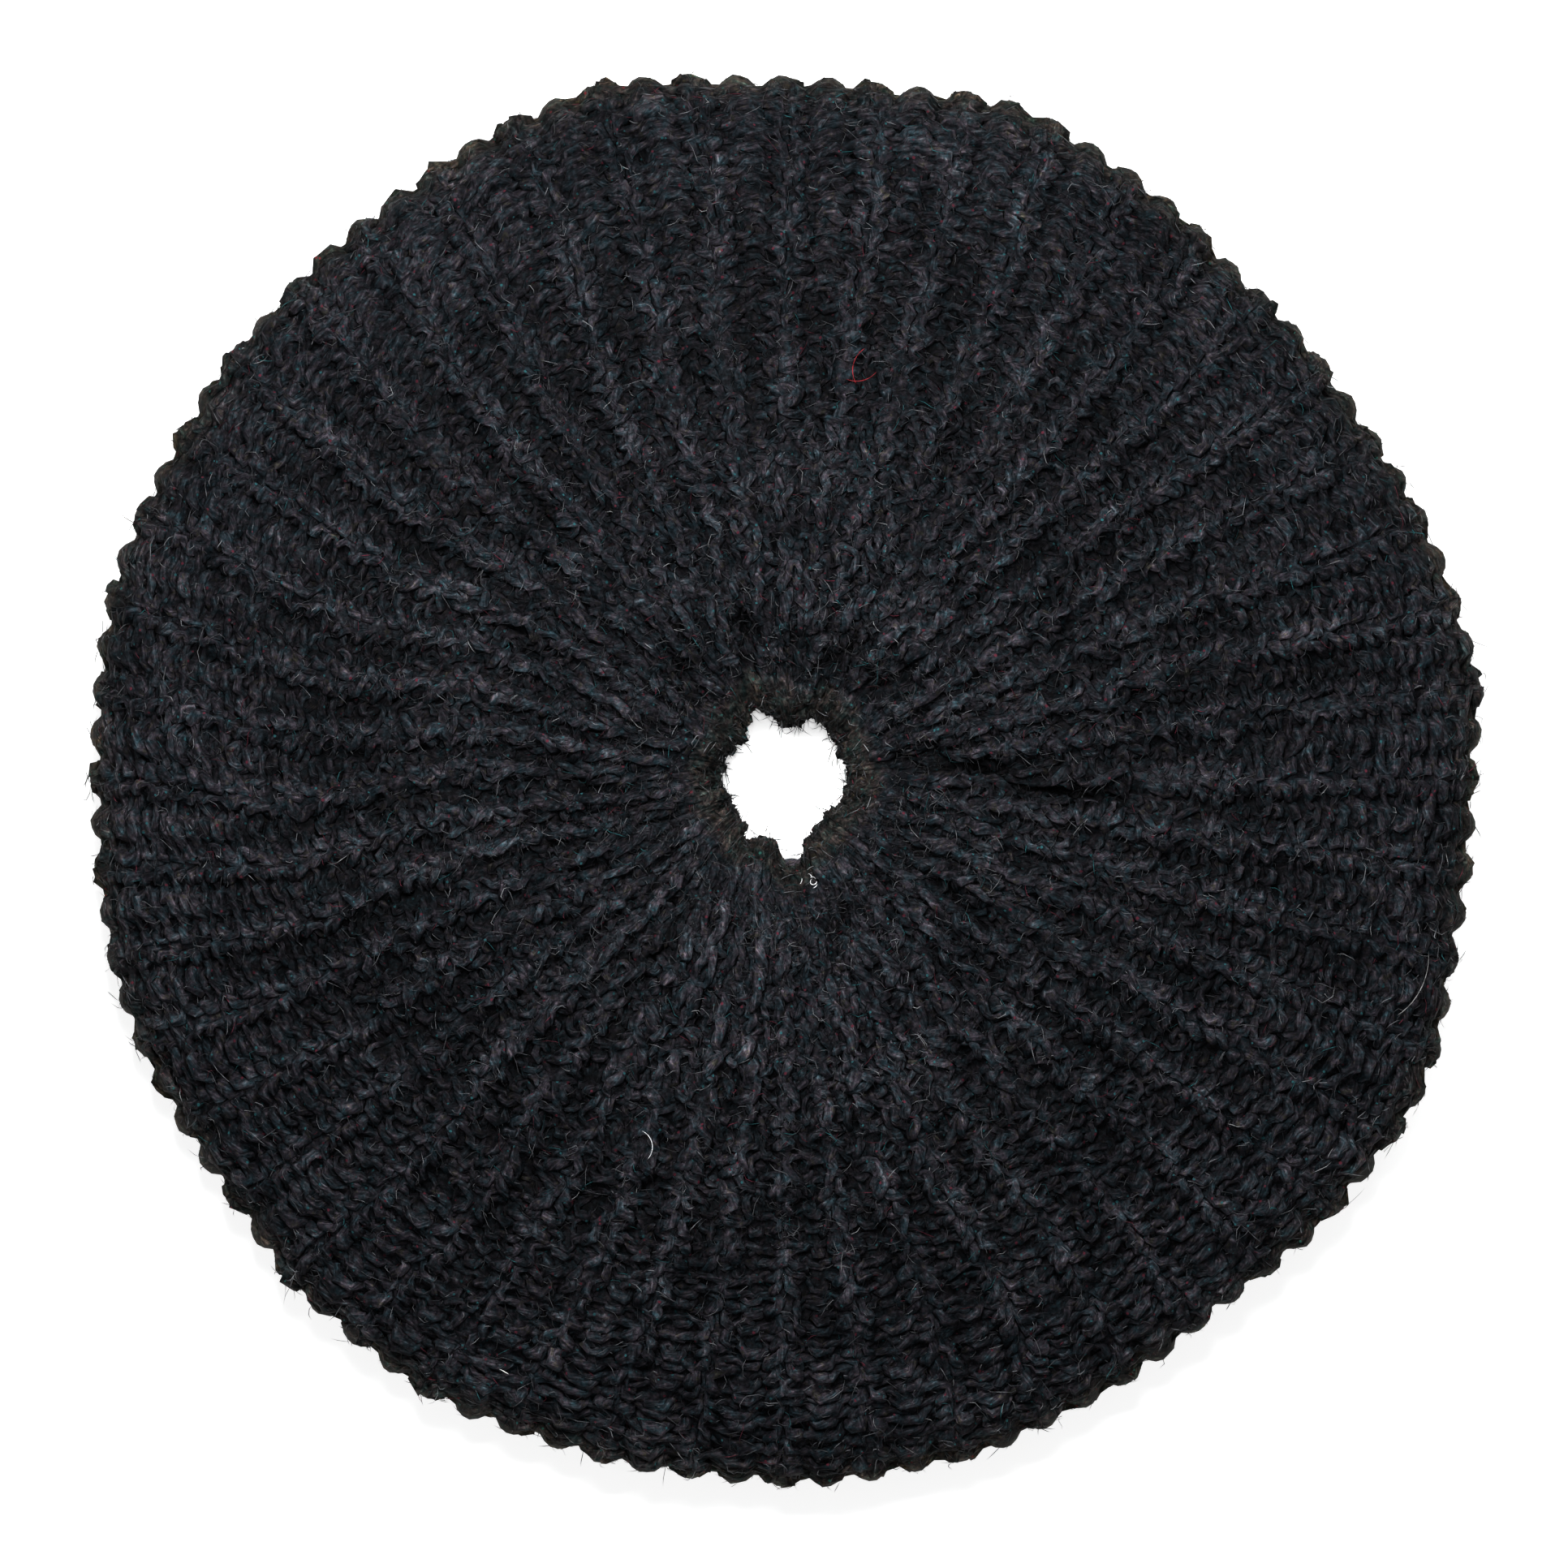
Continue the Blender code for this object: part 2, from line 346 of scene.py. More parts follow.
def sway(radius, angle):
    """The angle by which the ribs swing aside, most of all at half the radius."""
    inner = np.exp(-(((radius - SWAY_MIDDLE) / SWAY_SPREAD) ** 2))
    left = np.exp(-(((np.mod(np.degrees(angle) - 165 + 180, 360) - 180) / 45) ** 2))
    drift = 0.018 * np.sin(3 * angle + 1.0) + 0.012 * np.sin(5 * angle + 2.6 + radius * 40)
    return inner * (drift + 0.055 * left * np.sin((radius - SWAY_MIDDLE) / 0.015))


def slow_bumps(s, angle, rows):
    """Low swells of the face, in mm."""
    total = 0
    for waves, rate, phase, size in rows:
        total = total + size * np.sin(waves * angle + rate * s / MM + phase)
    return total


bump_rows = [
    (int(rng.integers(3, 26)), rng.uniform(-0.35, 0.35), rng.uniform(0, 6.28), rng.uniform(0.08, 0.18))
    for _ in range(14)
]


def crease_depth(x, y):
    """How deep the deepest crease is at x and y, in metres."""
    deepest = 0 * x
    for start, end, depth, half in CREASES:
        start = MM * np.array(start)
        run = MM * np.array(end) - start
        length = np.hypot(*run)
        t = ((x - start[0]) * run[0] + (y - start[1]) * run[1]) / length**2
        bend = 0.0010 * np.sin(7 * t)
        off = ((x - start[0]) * run[1] - (y - start[1]) * run[0]) / length + bend
        window = smooth(t / 0.15 + 0.5) * smooth((1.05 - t) / 0.35)
        deepest = np.maximum(deepest, MM * depth * window * np.exp(-((off / (MM * half)) ** 2) / 2))
    return deepest


def felted(s):
    """How far the wool has felted at the hole, and how far along the rim, each from 0 to 1."""
    radius = np.interp(s, line_s, line_r)
    at_hole = smooth((FELTED_HOLE - radius) / 0.010)
    at_rim = np.exp(-(((s - RIM_S - 0.001) / FELTED_RIM) ** 2))
    return at_hole, at_rim


def shade_and_wear(depth, s):
    """The tint at a height over the outline: painted shade darkens the furrows, and felted edges go
    brownish.
    """
    at_hole, at_rim = felted(s)
    # painted shade: the deeper a point lies, the darker it is painted
    light = np.interp(depth, *DEPTH_SHADE)
    brown = np.maximum(HOLE_BROWN * smooth((at_hole - 0.8) / 0.2), at_rim)[..., None]
    tint = light[..., None] * (1 - brown + brown * np.array(EDGE_TINT))
    return np.concatenate([tint, np.ones(tint.shape[:-1] + (1,))], axis=-1)


def on_wheel(s, c, lift):
    """Points, outward directions and crease depths at s, column c and lift over the outline."""
    radius = np.interp(s, line_s, line_r)
    height = np.interp(s, line_s, line_z)
    normal_r = np.interp(s, line_s, out_r)
    normal_z = np.interp(s, line_s, out_z)
    angle = angle_of(s, c)
    angle = angle + sway(radius, angle)
    far = (radius / RIM_RADIUS) ** 3
    near = smooth((HOLE_REACH - radius) / 0.020)
    radius = radius + outline_shift(angle) * far + hole_shift(angle) * near
    front = smooth((height - 0.010) / 0.006)
    dip = crease_depth(radius * np.cos(angle), radius * np.sin(angle))
    lift = lift + front * (MM * slow_bumps(s, angle, bump_rows) - dip)
    radius = radius + normal_r * lift
    height = np.maximum(height + normal_z * lift, FLOOR_GAP)
    points = np.stack([radius * np.cos(angle), radius * np.sin(angle), height], axis=-1)
    outward = np.stack([normal_r * np.cos(angle), normal_r * np.sin(angle), normal_z], axis=-1)
    return points, outward, front * dip


# %% [markdown]
# Meshes this dense are written straight into Blender's arrays, because nearly two million triangles made
# one at a time would take very long. `tube` skins one closed length of yarn and gives it a UV map whose
# first number is millimetres along the yarn and whose second is the way round it, so that a material can
# follow the fibres. It also tells how high each point lies over the outline, for the painted depth shade
# in the tint.

# %% Mesh helpers
SKIN_ROUGH = 0.20  # how much a yarn's thickness differs from point to point


def tube(points, outward, radius, depth, sides, draws=None):
    """Vertices, quads, UV and depths of a closed tube. draws, where given, make its skin uneven."""
    count = len(points)
    forward = np.roll(points, -1, axis=0) - np.roll(points, 1, axis=0)
    forward /= np.linalg.norm(forward, axis=1, keepdims=True)
    across = np.cross(forward, outward)
    across /= np.linalg.norm(across, axis=1, keepdims=True)
    up = np.cross(across, forward)
    turn = 2 * math.pi * np.arange(sides) / sides + math.pi
    ring = up[:, None, :] * np.cos(turn)[None, :, None] + across[:, None, :] * np.sin(turn)[None, :, None]
    skin = radius[:, None] * np.ones(sides)
    if draws is not None:
        skin = skin * draws.normal(1, SKIN_ROUGH, skin.shape).clip(0.6, 1.4)
    depth = depth[:, None] + skin * np.cos(turn)[None, :]
    vertices = points[:, None, :] + ring * skin[..., None]
    vertices[..., 2] = np.maximum(vertices[..., 2], FLOOR_GAP)
    i = np.arange(count)[:, None]
    j = np.arange(sides)[None, :]
    ahead = (i + 1) % count
    beside = (j + 1) % sides
    corners = [i * sides + j, i * sides + beside, ahead * sides + beside, ahead * sides + j]
    quads = np.stack(np.broadcast_arrays(*corners), axis=-1)
    gaps = np.linalg.norm(np.roll(points, -1, axis=0) - points, axis=1) / MM
    travelled = np.concatenate([[0], np.cumsum(gaps)])
    u = np.stack([travelled[:-1], travelled[:-1], travelled[1:], travelled[1:]], axis=-1)
    v = np.stack([j[0], j[0] + 1, j[0] + 1, j[0]], axis=-1) / sides
    shape = (count, sides, 4)
    uv = np.stack([np.broadcast_to(u[:, None, :], shape), np.broadcast_to(v[None, :, :], shape)], axis=-1)
    return vertices.reshape(-1, 3), quads.reshape(-1, 4), uv.reshape(-1, 2), depth.ravel()


def mesh_object(name, vertices, faces, uv=None, tint=None):
    """A smooth mesh object from arrays, with a yarn UV map and a tint attribute where given."""
    mesh = bpy.data.meshes.new(name)
    sides = faces.shape[1]
    mesh.vertices.add(len(vertices))
    mesh.vertices.foreach_set("co", vertices.astype(np.float32).ravel())
    mesh.loops.add(faces.size)
    mesh.loops.foreach_set("vertex_index", faces.astype(np.int32).ravel())
    mesh.polygons.add(len(faces))
    mesh.polygons.foreach_set("loop_start", (np.arange(len(faces)) * sides).astype(np.int32))
    mesh.polygons.foreach_set("use_smooth", np.ones(len(faces), dtype=bool))
    if uv is not None:
        mesh.uv_layers.new(name="yarn").uv.foreach_set("vector", uv.astype(np.float32).ravel())
    if tint is not None:
        layer = mesh.attributes.new("tint", "FLOAT_COLOR", "POINT")
        layer.data.foreach_set("color", tint.astype(np.float32).ravel())
    mesh.update(calc_edges=True)
    mesh.validate()
    made = bpy.data.objects.new(name, mesh)
    bpy.context.collection.objects.link(made)
    print(name, len(faces) * (sides - 2), "triangles")
    return made


# %% [markdown]
# Wool yarn is never one colour. Fibres dyed nearly black, slate and grey lie twisted round each other,
# with a few teal and dark red ones. One set of nodes makes this for every woollen piece: a noise stretched
# along the twist gives the single fibres, a finer speckle gives the heather, and a slow one gives patches
# of wear and matting. Where a fibre would catch the light along its length, its palest streaks are painted
# highlights in the colour. Wool has next to no shine, so what shows is its colour, with those painted
# highlights, and its shadows.

# %% Wool finish
TWIST = math.radians(24)
# the palest stops are partly painted highlight, the glint of single fibres, and partly the pale fibres of
# the heather
WOOL_STOPS = (
    (0.39, (0.0004, 0.0006, 0.0008)),
    (0.46, (0.0024, 0.0028, 0.0034)),
    (0.52, (0.0073, 0.0079, 0.0092)),
    (0.58, (0.0198, 0.0206, 0.0230)),
    (0.66, (0.0730, 0.0750, 0.0800)),
)
HUE_STOPS = (
    (0.32, (0.55, 1.06, 1.18)),
    (0.43, (0.82, 1.02, 1.12)),
    (0.50, (1.00, 0.99, 1.02)),
    (0.57, (1.18, 0.92, 1.10)),
    (0.68, (1.16, 1.03, 0.74)),
)
HEATHER_SHARE = 0.42
CLOUD_SHARE = 0.20
PATCH_SHARE = 0.16
SPECKS = (  # cells per metre, the share of cells that hold a speck, and its colour
    (2000, 0.016, (0.007, 0.030, 0.034)),
    (1800, 0.012, (0.030, 0.006, 0.010)),
)
SPECK_SIZE = 0.42  # of a cell


def node(tree, kind, **settings):
    """A new node with its settings."""
    made = tree.nodes.new(kind)
    for key, value in settings.items():
        setattr(made, key, value)
    return made


def noise(tree, vector, scale, detail, rough=0.6):
    """The value of a cloudy noise, read at vector."""
    made = node(tree, "ShaderNodeTexNoise")
    made.inputs["Scale"].default_value = scale
    made.inputs["Detail"].default_value = detail
    made.inputs["Roughness"].default_value = rough
    tree.links.new(vector, made.inputs["Vector"])
    return made.outputs["Fac"]


def blend_values(tree, first, second, share):
    """first and second mixed, with share of the second."""
    mix = node(tree, "ShaderNodeMix", data_type="FLOAT")
    mix.inputs[0].default_value = share
    tree.links.new(first, mix.inputs[2])
    tree.links.new(second, mix.inputs[3])
    return mix.outputs[0]


def ramp(tree, value, stops):
    """A value turned into a colour, by stops of (value, colour)."""
    made = node(tree, "ShaderNodeValToRGB")
    elements = made.color_ramp.elements
    while len(elements) < len(stops):
        elements.new(0.5)
    for element, (place, colour) in zip(elements, stops):
        element.position = place
        element.color = (*colour, 1)
    tree.links.new(value, made.inputs["Fac"])
    return made.outputs["Color"]


def multiplied(tree, first, second):
    """One colour times another."""
    mix = node(tree, "ShaderNodeMix", data_type="RGBA", blend_type="MULTIPLY")
    mix.inputs[0].default_value = 1
    tree.links.new(first, mix.inputs[6])
    tree.links.new(second, mix.inputs[7])
    return mix.outputs[2]


def speckled(tree, colour, where, scale, share, speck):
    """Adds small specks of another fibre, one in some of the cells of a Voronoi pattern."""
    cells = node(tree, "ShaderNodeTexVoronoi")
    cells.inputs["Scale"].default_value = scale
    tree.links.new(where, cells.inputs["Vector"])
    chosen = node(tree, "ShaderNodeSeparateColor")
    tree.links.new(cells.outputs["Color"], chosen.inputs["Color"])
    rare = node(tree, "ShaderNodeMath", operation="LESS_THAN")
    tree.links.new(chosen.outputs["Red"], rare.inputs[0])
    rare.inputs[1].default_value = share
    close = node(tree, "ShaderNodeMath", operation="LESS_THAN")
    tree.links.new(cells.outputs["Distance"], close.inputs[0])
    close.inputs[1].default_value = SPECK_SIZE
    both = node(tree, "ShaderNodeMath", operation="MULTIPLY")
    tree.links.new(rare.outputs[0], both.inputs[0])
    tree.links.new(close.outputs[0], both.inputs[1])
    mix = node(tree, "ShaderNodeMix", data_type="RGBA")
    tree.links.new(both.outputs[0], mix.inputs[0])
    tree.links.new(colour, mix.inputs[6])
    mix.inputs[7].default_value = (*speck, 1)
    return mix.outputs[2]


def paint(name, roughness, specular, sheen):
    """A new material, its node tree and its shader."""
    made = bpy.data.materials.new(name)
    made.use_nodes = True
    tree = made.node_tree
    shader = tree.nodes["Principled BSDF"]
    shader.inputs["Roughness"].default_value = roughness
    shader.inputs["Specular IOR Level"].default_value = specular
    shader.inputs["Sheen Weight"].default_value = sheen
    shader.inputs["Sheen Roughness"].default_value = 0.45
    return made, tree, shader


def bumped(tree, shader, height, distance):
    """Makes the surface look as uneven as height says, by up to distance."""
    bump = node(tree, "ShaderNodeBump")
    bump.inputs["Distance"].default_value = distance
    tree.links.new(height, bump.inputs["Height"])
    tree.links.new(bump.outputs["Normal"], shader.inputs["Normal"])


def wool(name, stops, on_yarn, tinted=False):
    """The finish itself. on_yarn: there is a yarn UV map. tinted: there is a tint attribute."""
    made, tree, shader = paint(name, 0.80, 0.03, 0.0)
    place = node(tree, "ShaderNodeTexCoord").outputs["Object"]
    heather = noise(tree, place, 1500, 3, 0.7)
    patches = noise(tree, place, 110, 3, 0.55)
    if on_yarn:
        around = node(tree, "ShaderNodeUVMap", uv_map="yarn").outputs["UV"]
        turned = node(tree, "ShaderNodeMapping")
        turned.inputs["Scale"].default_value = (1, 5, 1)
        turned.inputs["Rotation"].default_value = (0, 0, TWIST)
        tree.links.new(around, turned.inputs["Vector"])
        drawn = node(tree, "ShaderNodeMapping")
        drawn.inputs["Scale"].default_value = (0.34, 2.0, 1)
        tree.links.new(turned.outputs["Vector"], drawn.inputs["Vector"])
        fibres = noise(tree, drawn.outputs["Vector"], 1.0, 3, 0.65)
    else:
        fibres = noise(tree, place, 700, 4, 0.7)
    value = blend_values(tree, fibres, heather, HEATHER_SHARE)
    value = blend_values(tree, value, noise(tree, place, 420, 2, 0.5), CLOUD_SHARE)
    value = blend_values(tree, value, patches, PATCH_SHARE)
    colour = ramp(tree, value, stops)
    hue = noise(tree, place, 620, 3, 0.7)
    colour = multiplied(tree, colour, ramp(tree, hue, HUE_STOPS))
    for scale, share, speck in SPECKS:
        colour = speckled(tree, colour, place, scale, share, speck)
    # the tint attribute holds painted shade, darkest in the furrows, and the brownish wear of the felted
    # edges
    if tinted:
        tint = node(tree, "ShaderNodeAttribute", attribute_name="tint")
        colour = multiplied(tree, colour, tint.outputs["Color"])
    tree.links.new(colour, shader.inputs["Base Color"])
    bumped(tree, shader, value, 0.0004)
    return made


wool_paint = wool("rib_wool", WOOL_STOPS, True, True)

# %% [markdown]
# Under the loops the wool has matted into a dense dark cloth, which keeps daylight from showing between
# them. It is one closed sheet, 0.8 mm thick, that runs from lip to lip and rises under each column.

# %% Matted cloth
CLOTH_TOP = -0.0020  # the sheet's two sides, under the outline
CLOTH_UNDER = -0.0028
TOP_ROWS = 116
UNDER_ROWS = 32
CLOTH_ROUND = 0.0009  # how much it bulges under each column
CLOTH_RISES = 0.0011  # how much higher it lies at the hole and at the rim
CLOTH_COVERS = 0.0006  # and more, where the felted wool covers the yarn
CLOTH_ROUGH = 0.00008
CLOTH_SHADE_DEPTH = 0.0006  # painted shade: the cloth is darkened as if it lay this much deeper than it does
CLOTH_AROUND = COLUMNS * 6
CLOTH_LIGHTER = 1.1


def cloth_rows(level, count):
    """Rings of points from lip to lip, at a level under the outline, and their tint of painted shade and
    brownish wear.
    """
    s = np.linspace(0, LINE_LENGTH, count)[:, None]
    c = (np.arange(CLOTH_AROUND) + 0.5)[None, :] * COLUMNS / CLOTH_AROUND
    s, c = np.broadcast_arrays(s, c)
    at_hole, at_rim = felted(s)
    bulge = CLOTH_ROUND * (1 - 0.75 * at_hole + 0.40 * at_rim)
    collar = smooth((at_hole - 0.45) / 0.5)
    lift = level + CLOTH_RISES * np.maximum(at_hole, at_rim) + CLOTH_COVERS * np.maximum(collar, at_rim)
    lift = lift + bulge * roundness(c) - depth_of(s, c) * (1 - at_hole)
    lift = lift + np.random.default_rng(31).normal(0, CLOTH_ROUGH, lift.shape)
    points, _, dip = on_wheel(s, c, lift)
    return points, shade_and_wear(lift - dip - CLOTH_SHADE_DEPTH, s)


outer_rows, outer_tint = cloth_rows(CLOTH_TOP, TOP_ROWS)
inner_rows, inner_tint = cloth_rows(CLOTH_UNDER, UNDER_ROWS)
rows = np.concatenate([outer_rows, inner_rows[::-1]])
tint = np.concatenate([outer_tint, inner_tint[::-1]])
row_index = np.arange(len(rows))[:, None]
place_index = np.arange(CLOTH_AROUND)[None, :]
next_row = (row_index + 1) % len(rows)
next_place = (place_index + 1) % CLOTH_AROUND
cloth_corners = [
    row_index * CLOTH_AROUND + place_index,
    next_row * CLOTH_AROUND + place_index,
    next_row * CLOTH_AROUND + next_place,
    row_index * CLOTH_AROUND + next_place,
]
cloth_faces = np.stack(np.broadcast_arrays(*cloth_corners), axis=-1).reshape(-1, 4)
matted_cloth = mesh_object("matted_cloth", rows.reshape(-1, 3), cloth_faces, tint=tint)
cloth_stops = [(place, tuple(CLOTH_LIGHTER * v for v in rgb)) for place, rgb in WOOL_STOPS]
matted_paint = wool("matted_wool", cloth_stops, False, True)
matted_cloth.data.materials.append(matted_paint)

# %% [markdown]
# One loop of a knit column rises, turns over and comes down again, and its two legs lie in front
# as a wide V. In a purl column the same loop is seen from behind, so the turns show as short
# bars, like a ladder. All loops of one row are one length of yarn. The curve below is the classic
# one for a knitted loop: it goes forward evenly, swings sideways twice in each loop and up and
# down once. Where a column is stretched wide, at the rim, the swing is wider and the legs lie
# flatter. No two loops are quite alike: each is a little taller, wider or thicker than the next,
# and all along the yarn its place and thickness drift slowly.

# %% Yarn path
COURSES = 88
COURSE_PITCH = LINE_LENGTH / COURSES
YARN_RADIUS = 0.00072
LOOP_POINTS = 12
LOOP_SIDES = 5
LOOP_REACH = 0.76  # half of a loop's height, in rows
SWING_NARROW = 0.25  # in columns
SWING_WIDE = 0.29
FABRIC_DEPTH = 0.0018  # the middle of the cloth under the outline
FRONT_BACK = 0.00078  # how far legs and turns lie either side of the cloth's middle
RIM_RISES = 0.00015  # the yarn lies higher along the rim, where it has been felted flat
COLUMN_ROUND = 0.00080  # how much a column bulges
RELAXED = 0.0002  # knit columns lie this much higher than the cloth's middle, purl ones lower
LOOP_TALLER = 0.12  # how much single loops differ
LOOP_WIDER = 0.16
LOOP_DEEPER = 0.20
LOOP_HIGHER = 0.00022
LOOP_THICKER = 0.07
DRIFT_SIDEWAYS = (0.26, 0.20)  # how much the yarn drifts at the hole, and how much less at the rim
DRIFT_ALONG = (0.0009, 0.00045)
DRIFT_UP = (0.00048, 0.00018)
DRIFT_THICK = 0.13
YARN_LIMITS = (0.0004, 0.0012)

print("row pitch", round(COURSE_PITCH / MM, 2), "mm,", COURSES * COLUMNS, "loops")


def softened(draws, count, span=9):
    """Random numbers that change slowly along a closed line."""
    raw = draws.normal(0, 1, count)
    bell = np.hanning(span + 2)
    bell /= np.sqrt((bell**2).sum())
    wrapped = np.concatenate([raw[-span:], raw, raw[:span]])
    return np.convolve(wrapped, bell, "same")[span:-span]


def course(row):
    """One row of yarn: its middle line, outward directions, radius, height over the outline and s."""
    phase = -math.pi + 2 * math.pi * (np.arange(LOOP_POINTS) + 0.5) / LOOP_POINTS
    k = np.repeat(np.arange(COLUMNS), LOOP_POINTS)
    p = np.tile(phase, COLUMNS)
    draws = np.random.default_rng(100 + row)
    by_loop = draws.normal(0, 1, (5, COLUMNS))
    taller, wider, deeper, higher, thicker = np.repeat(by_loop, LOOP_POINTS, axis=1)
    drift = [softened(draws, len(p)) for _ in range(4)]
    middle = (row + 0.5) * COURSE_PITCH
    spread = smooth((np.interp(middle, line_s, line_r) - 0.030) / 0.055)
    swing = (SWING_NARROW + (SWING_WIDE - SWING_NARROW) * spread) * (1 + LOOP_WIDER * wider)
    even = k + 0.5 + p / (2 * math.pi)
    aside = (DRIFT_SIDEWAYS[0] - DRIFT_SIDEWAYS[1] * spread) * drift[0]
    c = even + swing * np.sin(2 * p) + aside
    reach = LOOP_REACH * COURSE_PITCH * (1 + LOOP_TALLER * taller)
    shift = (DRIFT_ALONG[0] - DRIFT_ALONG[1] * spread) * drift[1]
    s = np.clip(middle + reach * np.cos(p) + shift, 0, LINE_LENGTH)
    face = np.clip(1.7 * np.sin(math.pi * even), -1, 1)
    wrapped = np.mod(c, COLUMNS)
    at_hole, at_rim = felted(s)
    lift = RELAXED * face - FABRIC_DEPTH + RIM_RISES * at_rim
    lift = lift - face * FRONT_BACK * (1 + LOOP_DEEPER * deeper) * np.cos(2 * p) * (1 - 0.7 * at_rim)
    lift = lift + COLUMN_ROUND * (1 - 0.75 * at_hole + 0.55 * at_rim) * roundness(c)
    loose = (DRIFT_UP[0] - DRIFT_UP[1] * spread) * (1 - 0.6 * np.maximum(at_rim, at_hole))
    lift = lift - depth_of(s, wrapped) * (1 - at_hole) + LOOP_HIGHER * higher + loose * drift[2]
    points, outward, dip = on_wheel(s, c, lift)
    fuller = 1 - 0.18 * face * np.cos(2 * p)
    uneven = 1 + DRIFT_THICK * drift[3] + LOOP_THICKER * thicker
    radius = YARN_RADIUS * fuller * uneven * (1 - 0.25 * sink_of(s, wrapped))
    return points, outward, np.clip(radius, *YARN_LIMITS), lift - dip, s


BANDS = (  # name, first row, and the row after the last
    ("knit_hole_front", 0, 8),
    ("knit_crown_inner", 8, 16),
    ("knit_crown_outer", 16, 24),
    ("knit_face_inner", 24, 32),
    ("knit_face_outer", 32, 40),
    ("knit_shoulder", 40, 48),
    ("knit_rim", 48, 56),
    ("knit_back_outer", 56, 67),
    ("knit_back_inner", 67, 78),
    ("knit_hole_back", 78, 88),
)
courses = [course(row) for row in range(COURSES)]
yarn_pieces = []
for name, first, last in BANDS:
    draws = np.random.default_rng(700 + first)
    parts = [tube(*courses[row][:4], LOOP_SIDES, draws) for row in range(first, last)]
    along = np.concatenate([np.repeat(courses[row][4], LOOP_SIDES) for row in range(first, last)])
    tint = shade_and_wear(np.concatenate([part[3] for part in parts]), along)
    starts = np.cumsum([0] + [len(part[0]) for part in parts[:-1]])
    quads = np.vstack([part[1] + start for part, start in zip(parts, starts)])
    vertices = np.vstack([part[0] for part in parts])
    piece = mesh_object(name, vertices, quads, np.vstack([part[2] for part in parts]), tint)
    piece.data.materials.append(wool_paint)
    yarn_pieces.append(piece)

# %% [markdown]
# What makes wool look like wool is the fuzz: ends of fibres that have worked loose from the yarn,
# curl over it and blur its edges. Each is a three-sided needle that tapers at both ends. It starts
# in a yarn, follows it for a while and wanders off sideways. Some stand up at the rim, where they
# soften the outline, and some bridge the folds at the hole, where handling has felted them.

# %% Fuzz
FIBRE_POINTS = 4
FIBRE_BENDS = 0.55  # radians, in its first direction and at each of its points
FIBRE_WANDERS = 0.25
# the palest tones are partly painted highlight, fibres that catch the light, and partly pale fibres; the
# rest are the fibres' own colours
FIBRE_TONES = np.array(
    [
        [0.0012, 0.0015, 0.0019],
        [0.0056, 0.0062, 0.0073],
        [0.0175, 0.0183, 0.0202],
        [0.0430, 0.0445, 0.0480],
        [0.0800, 0.0820, 0.0850],
        [0.0050, 0.0280, 0.0310],
        [0.0310, 0.0050, 0.0090],
    ]
)
# what share of the fibres has each of those tones
FIBRE_SHARES = np.array([0.22, 0.28, 0.26, 0.16, 0.02, 0.035, 0.025])
STRAW = np.array([1.0, 0.90, 0.62])  # the colour that sun and handling add, times a fuzz's paleness


def needles(paths, outward, radius):
    """Tapered three-sided needles along paths, an array of needles by points by 3."""
    count, points = paths.shape[:2]
    forward = np.gradient(paths, axis=1)
    forward /= np.linalg.norm(forward, axis=2, keepdims=True) + 1e-12
    across = np.cross(forward, outward[:, None, :])
    across /= np.linalg.norm(across, axis=2, keepdims=True) + 1e-12
    up = np.cross(across, forward)
    turn = 2 * math.pi * np.arange(3) / 3
    ring = up[:, :, None, :] * np.cos(turn)[:, None] + across[:, :, None, :] * np.sin(turn)[:, None]
    taper = np.sin(math.pi * (np.arange(points) + 0.55) / (points + 0.1)) ** 0.5
    rings = paths[:, :, None, :] + ring * (radius[:, None] * taper[None, :])[:, :, None, None]
    inner = rings[:, 1:-1].reshape(count, -1, 3)
    vertices = np.concatenate([paths[:, :1], inner, paths[:, -1:]], axis=1)
    size = vertices.shape[1]
    faces = []
    for side in range(3):
        beside = (side + 1) % 3
        faces.append((0, 1 + beside, 1 + side))
        faces.append((size - 1, size - 4 + side, size - 4 + beside))
        for step_up in range(points - 3):
            low = 1 + 3 * step_up
            faces.append((low + side, low + beside, low + 3 + beside))
            faces.append((low + side, low + 3 + beside, low + 3 + side))
    faces = np.array(faces)[None] + (np.arange(count) * size)[:, None, None]
    return vertices.reshape(-1, 3), faces.reshape(-1, 3), size


